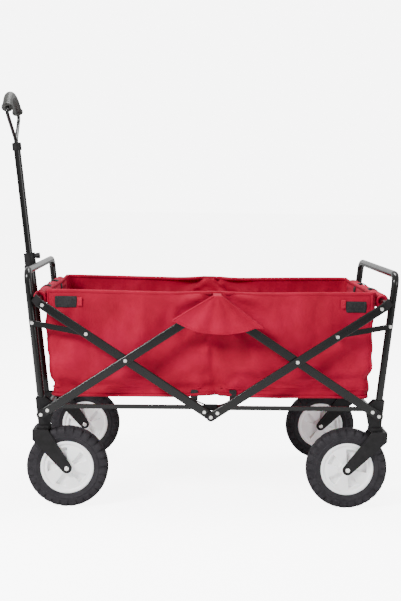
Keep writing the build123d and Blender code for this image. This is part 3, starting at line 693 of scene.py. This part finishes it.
def make_sleeve(end_name, end):
    """The padded sleeve round one end rail, with its two straps and their tails down the end wall."""
    rows, sides = 110, 36
    points = []
    centre_x = end * rail_x
    for i in range(rows + 1):
        y = sleeve_reach * (2 * i / rows - 1)
        for j in range(sides):
            angle = 2 * pi * j / sides
            radius = sleeve_swell(y)
            wrinkle = noise.noise(Vector((angle * 0.9, y * 34, 3.0 * end)))
            fine = noise.noise(Vector((cos(angle) * 2, y * 90, sin(angle) * 2 + end)))
            radius += 0.0011 * wrinkle + 0.0006 * fine
            # a sewn seam along the bottom, where the wall hangs from it
            radius += 0.0016 * bell(angle, 1.5 * pi, 0.25)
            points.append(place(centre_x + radius * cos(angle), y, rail_z + radius * sin(angle)))
    faces = grid_faces(rows + 1, sides, closed_columns=True)
    # each end turns in over the foam to a small hole round the rail
    for row, inwards in ((0, 1), (rows, -1)):
        first = len(points)
        for share, depth in ((0.86, -0.0008), (0.62, 0.0004), (0.46, 0.003)):
            for j in range(sides):
                spot = points[row * sides + j]
                centre = place(centre_x, spot.y, rail_z)
                ring = centre + (spot - centre) * share
                points.append(ring + Vector((0, inwards * depth, 0)))
        rings = [row * sides] + [first + k * sides for k in range(3)]
        for a, b in zip(rings, rings[1:]):
            for j in range(sides):
                faces.append((a + j, a + (j + 1) % sides, b + (j + 1) % sides, b + j))
    # the sleeve and its straps stay round the rail, and the straps' tails ride on the tub with the wall
    rail_body = f"{end_name}_falling_arms"
    sleeve = new_piece(f"{end_name}_sleeve", points, faces, red_fabric, rail_body)
    for side_name, side in (("near", -1), ("far", 1)):
        path = []
        radius = sleeve_radius * 0.94 + 0.0022
        for k in range(29):
            angle = radians(-62 + 276 * k / 28)
            out_x = end * (rail_x + radius * cos(angle))
            path.append(place(out_x, side * strap_place, rail_z + radius * sin(angle)))
        tail = [path[-1].copy()]
        for z in tail_heights:
            share = (rim_z - z) / (rim_z - floor_z)
            wall = shell_half_length(z) - 0.0065 - 0.002 * sin(pi * share)
            tail.append(place(end * wall, side * strap_place, z))
        for part_name, line, body in (("strap", path, rail_body), ("strap_tail", tail, "fabric_tub")):
            strap_name = f"{end_name}_{part_name}_{side_name}"
            strap = band(strap_name, line, Vector((0, 1, 0)), strap_width, strap_thickness, body)
            if body == "fabric_tub":
                fold_with_frame(strap)


make_sleeve("front", -1)
make_sleeve("rear", 1)


# ---- flaps over the top centre joints ------------------------------------------------------------
strip_rows = 7
strip_start_y = 0.2300
strip_z = 0.5285


def flap_point(across, down):
    """A point of the near flap: across from left to right, and down from its crease to its hem."""
    left = (0.002 + (-0.0965 - 0.002) * down, 0.5275 + (0.467 - 0.5275) * down)
    right = (0.022 + (0.1235 - 0.022) * down, 0.5275 + (0.450 - 0.5275) * down)
    x = left[0] + (right[0] - left[0]) * across
    z = left[1] + (right[1] - left[1]) * across
    chord_z = 0.467 + (0.450 - 0.467) * across
    hem_z = 0.4365 + 0.030 * abs(2 * across - 1.06) ** 2.4 + 0.001 * (1 - across)
    z += (min(hem_z, chord_z) - chord_z) * down**1.5
    sides = abs(2 * across - 1)
    y = 0.2795 - 0.0045 * ease(x, 0.04, 0.12) + 0.0027 * sin(7.5 * pi * across + 1.2) * down
    y += 0.0020 * ease(down, 0.75, 1.0) - 0.0010 * sides * down
    y += 0.0012 * noise.noise(Vector((x * 30, z * 30, 2.0)))
    return Vector((x, y, z))


def make_flap(side_name, side):
    """One flap: a strip from the rim over the top joint, the sheet that hangs from it, and its hem."""
    columns, rows = 40, 26
    points = []
    for k in range(strip_rows):
        share = k / strip_rows
        for j in range(columns + 1):
            top = flap_point(j / columns, 0)
            z = strip_z + 0.0012 * sin(pi * share)
            points.append(place(top.x, side * (strip_start_y + (top.y - 0.2335) * share), z))
    for i in range(rows + 1):
        for j in range(columns + 1):
            spot = flap_point(j / columns, i / rows)
            points.append(place(spot.x, side * spot.y, spot.z))
    count = strip_rows + rows + 1
    faces = grid_faces(count, columns + 1)
    flap = new_piece(f"flap_sheet_{side_name}", points, faces, red_fabric, "fabric_tub")
    edge = [points[(count - 1) * (columns + 1) + j] for j in range(columns + 1)]
    left = [points[i * (columns + 1)] for i in range(strip_rows, count)]
    right = [points[i * (columns + 1) + columns] for i in range(strip_rows, count)]
    thicken(flap, 0.0018)
    hem_path = left + edge[1:-1] + list(reversed(right))
    lift = Vector((0, side * 0.0002, 0))
    hem = tube_along(f"flap_hem_{side_name}", [p + lift for p in hem_path], 0.0021)
    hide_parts(f"tub_flap_{side_name}")
    fold_with_frame(flap)
    fold_with_frame(hem)


make_flap("near", -1)
make_flap("far", 1)


# ---- small sewn pieces on the walls --------------------------------------------------------------
def wall_patch(name, outline, side, lift, material, thickness):
    """A piece sewn on a long wall: outline is (height, left, right) from its top row down."""
    columns, steps = 10, 5
    points = []
    rows = []
    for (z0, a0, b0), (z1, a1, b1) in zip(outline, outline[1:]):
        for k in range(steps):
            row = (z0 + (z1 - z0) * k / steps, a0 + (a1 - a0) * k / steps, b0 + (b1 - b0) * k / steps)
            rows.append(row)
    rows.append(outline[-1])
    for z, a, b in rows:
        for j in range(columns + 1):
            points.append(wall_point(a + (b - a) * j / columns, z, side, lift))
    patch = new_piece(name, points, grid_faces(len(rows), columns + 1), material, "fabric_tub")
    thicken(patch, thickness)
    fold_with_frame(patch)


front_patch = [(0.519, -0.382, -0.329), (0.505, -0.383, -0.328), (0.491, -0.381, -0.330)]
rear_patch = [(0.513, 0.329, 0.379), (0.499, 0.328, 0.380), (0.485, 0.330, 0.378)]
centre_panel = [(0.5285, -0.010, 0.022), (0.497, -0.048, 0.058), (0.472, -0.046, 0.056)]
patch_lift = patch_thickness = 0.0022
ring_tab_half = 0.006
floor_tab_a, floor_tab_b = -0.040, 0.055


def make_trim():
    """The webbing patches and red tabs near the corners, the centre panels, and the webbing below."""
    for side_name, side in (("near", -1), ("far", 1)):
        for end_name, outline in (("front", front_patch), ("rear", rear_patch)):
            name = f"webbing_patch_{end_name}_{side_name}"
            wall_patch(name, outline, side, patch_lift, webbing, patch_thickness)
        name = f"centre_panel_{side_name}"
        wall_patch(name, centre_panel, side, -0.0030, red_fabric, 0.0020)
        for tab_name, tab_x in (("front", -0.322), ("rear", 0.322)):
            left, right = tab_x - ring_tab_half, tab_x + ring_tab_half
            outline = [(0.517, left, right), (0.495, left, right)]
            name = f"ring_tab_{tab_name}_{side_name}"
            wall_patch(name, outline, side, 0.0046, red_webbing, 0.0020)
        # webbing tabs under the floor's edge, and the sling that hangs between them
        for tab_name, tab_x in (("a", floor_tab_a), ("b", floor_tab_b)):
            path = [
                wall_point(tab_x, 0.290, side, 0.0022),
                wall_point(tab_x, 0.283, side, 0.0030),
                place(tab_x, side * 0.2325, 0.272),
                place(tab_x, side * 0.2310, 0.264),
            ]
            name = f"floor_tab_{tab_name}_{side_name}"
            fold_with_frame(band(name, path, Vector((1, 0, 0)), 0.018, 0.0016, "fabric_tub"))
        loop = []
        for k in range(17):
            share = k / 16
            z = 0.2655 - 0.0150 * sin(pi * share)
            loop.append(place(floor_tab_a + 0.095 * share, side * 0.2306, z))
        name = f"floor_sling_{side_name}"
        fold_with_frame(band(name, loop, Vector((0, 1, 0)), 0.016, 0.0014, "fabric_tub"))


make_trim()


# ---- wheels --------------------------------------------------------------------------------------
lugs = 28
tyre_section = [
    (0.0648, 0.0150), (0.0662, 0.0172), (0.0690, 0.0184), (0.0735, 0.0190), (0.0752, 0.0204),
    (0.0772, 0.0206), (0.0786, 0.0192), (0.0830, 0.0194), (0.0860, 0.0200), (0.0905, 0.0198),
    (0.0950, 0.0182), (0.0978, 0.0150), (0.0992, 0.0110), (0.0998, 0.0078), (0.0998, 0.0064),
    (0.0984, 0.0052), (0.0984, 0.0026), (0.0998, 0.0014),
]
lug_depth = 0.0032
lug_side_cut = 0.0016


def make_tyre(name, body, centre):
    """A foam-filled tyre: ridged sidewalls, deep shoulder lugs, and a split rib round the middle."""
    section = tyre_section + [(r, -w) for r, w in reversed(tyre_section)]
    beats = (0.0, 0.035, 0.15, 0.265, 0.30, 0.335, 0.48, 0.62, 0.78, 0.96)
    cut = (0.0, 1.0, 1.0, 1.0, 0.0, 0.0, 0.0, 0.0, 0.0, 0.0)
    points = []
    for lug in range(lugs):
        for beat, depth in zip(beats, cut):
            angle = 2 * pi * (lug + beat) / lugs
            for r, w in section:
                shoulder = ease(r, 0.0845, 0.0865) * ease(abs(w), 0.0072, 0.0082)
                radius = r - lug_depth * depth * shoulder
                cut_in = lug_side_cut * depth * shoulder
                width = w - (cut_in if w > 0 else -cut_in)
                points.append(centre + Vector((radius * cos(angle), width, radius * sin(angle))))
    faces = grid_faces(lugs * len(beats), len(section), closed_columns=True, closed_rows=True)
    tyre = new_piece(name, points, faces, tyre_rubber, body)
    soften(tyre, 38)
    return tyre


def soften(piece, degrees_limit):
    """Keeps the sharp edges of a moulded piece sharp in its shading."""
    limit = radians(degrees_limit)
    edged = bmesh.new()
    edged.from_mesh(piece.data)
    for edge in edged.edges:
        edge.smooth = len(edge.link_faces) != 2 or edge.calc_face_angle(0.0) < limit
    edged.to_mesh(piece.data)
    edged.free()


hub_rings = [
    (0.0042, 0.0216), (0.0070, 0.0218), (0.0112, 0.0212), (0.0124, 0.0200), (0.0132, 0.0172),
    (0.0150, 0.0162), (0.0172, 0.0160), (0.0180, 0.0159), (0.0250, 0.0156), (0.0340, 0.0150),
    (0.0430, 0.0143), (0.0486, 0.0138), (0.0494, 0.0137), (0.0530, 0.0134), (0.0556, 0.0132),
    (0.0570, 0.0150), (0.0600, 0.0168), (0.0634, 0.0168), (0.0652, 0.0156),
]
pocket_half_angle = 15
pocket_inner, pocket_outer = 0.0178, 0.0488
pocket_depth = 0.0085


def make_hub(name, body, centre, phase):
    """A domed white wheel centre with five wedge pockets on each face, and a raised boss."""
    offsets = (-16.2, -14.8, -10, -5, 0, 5, 10, 14.8, 16.2, 19, 27, 36, 45, 53)
    angles = [radians(phase + 72 * k + offset) for k in range(5) for offset in offsets]
    inside = [abs(offset) < pocket_half_angle for _ in range(5) for offset in offsets]
    points = []
    for face in (1, -1):
        order = hub_rings if face == 1 else list(reversed(hub_rings))
        for r, w in order:
            for angle, pocket in zip(angles, inside):
                sunk = pocket_depth if pocket and pocket_inner < r < pocket_outer else 0.0
                points.append(centre + Vector((r * cos(angle), face * (w - sunk), r * sin(angle))))
    faces = grid_faces(2 * len(hub_rings), len(angles), closed_columns=True, closed_rows=True)
    hub = new_piece(name, points, faces, white_plastic, body)
    soften(hub, 32)
    return hub


for end_name, phase in (("front", 106), ("rear", 77)):
    for side_name in ("near", "far"):
        hub_low, hub_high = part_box(f"{end_name}_hub_{side_name}")
        hub_centre = (hub_low + hub_high) / 2
        wheel_body = f"{end_name}_wheel_{side_name}"
        tyre = make_tyre(f"tyre_{end_name}_{side_name}", wheel_body, hub_centre)
        hub = make_hub(f"hub_{end_name}_{side_name}", wheel_body, hub_centre, phase)
        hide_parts(f"{end_name}_tyre_{side_name}")
        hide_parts(f"{end_name}_hub_{side_name}")


# ---- lights and floor ----------------------------------------------------------------------------
def make_light(name, spot, aim, size, power):
    """A white rectangular lamp at a spot, facing its aim."""
    data = bpy.data.lights.new(name, "AREA")
    data.shape = "RECTANGLE"
    data.size, data.size_y = size
    data.energy = power
    lamp = bpy.data.objects.new(name, data)
    lamp.location = spot
    lamp.rotation_euler = (Vector(aim) - Vector(spot)).to_track_quat("-Z", "Y").to_euler()
    scene.collection.objects.link(lamp)


def make_studio():
    """A pale floor under a soft white sky, with a broad key light above and in front."""
    sweep = 40
    mesh = bpy.data.meshes.new("studio_floor")
    corners = [(-sweep, -sweep, 0), (sweep, -sweep, 0), (sweep, sweep, 0), (-sweep, sweep, 0)]
    mesh.from_pydata(corners, [], [(0, 1, 2, 3)])
    floor = bpy.data.objects.new("studio_floor", mesh)
    scene.collection.objects.link(floor)
    paper = Recipe("studio_paper")
    paper.colour(paper.noise(3, 2), (0.3, (0.90, 0.90, 0.90)), (0.7, (0.93, 0.93, 0.93)))
    paper.set(Roughness=0.9, Specular_IOR_Level=0.1)
    paper.shader.inputs["Emission Color"].default_value = (1, 1, 1, 1)
    # the paper is overexposed to the camera, and lights the wagon only as white paper does
    glow = paper.math("MULTIPLY", paper.add("ShaderNodeLightPath").outputs["Is Camera Ray"], 6.2)
    paper.link(glow, paper.shader.inputs["Emission Strength"])
    mesh.materials.append(paper.material)
    world = bpy.data.worlds.new("studio")
    world.use_nodes = True
    # the backdrop is as bright to the camera as the paper is, and dimmer as a light
    tree = world.node_tree
    background = tree.nodes["Background"]
    background.inputs["Color"].default_value = (1, 1, 1, 1)
    seen = tree.nodes.new("ShaderNodeLightPath")
    mirrored = tree.nodes.new("ShaderNodeMath")
    mirrored.operation = "MULTIPLY_ADD"
    mirrored.inputs[1].default_value = 0.14
    tree.links.new(seen.outputs["Is Glossy Ray"], mirrored.inputs[0])
    tree.links.new(seen.outputs["Is Camera Ray"], mirrored.inputs[2])
    level = tree.nodes.new("ShaderNodeMapRange")
    level.inputs["To Min"].default_value = 0.34
    level.inputs["To Max"].default_value = 7.0
    tree.links.new(mirrored.outputs[0], level.inputs["Value"])
    tree.links.new(level.outputs["Result"], background.inputs["Strength"])
    scene.world = world
    make_light("key", (-2.1, -2.2, 2.4), (0, 0, 0.35), (1.0, 0.8), 235)
    make_light("top", (0.3, 0.3, 2.8), (0, 0, 0.4), (1.8, 0.8), 110)
    make_light("fill", (2.4, -2.2, 0.9), (0, 0, 0.3), (1.2, 1.2), 38)


make_studio()
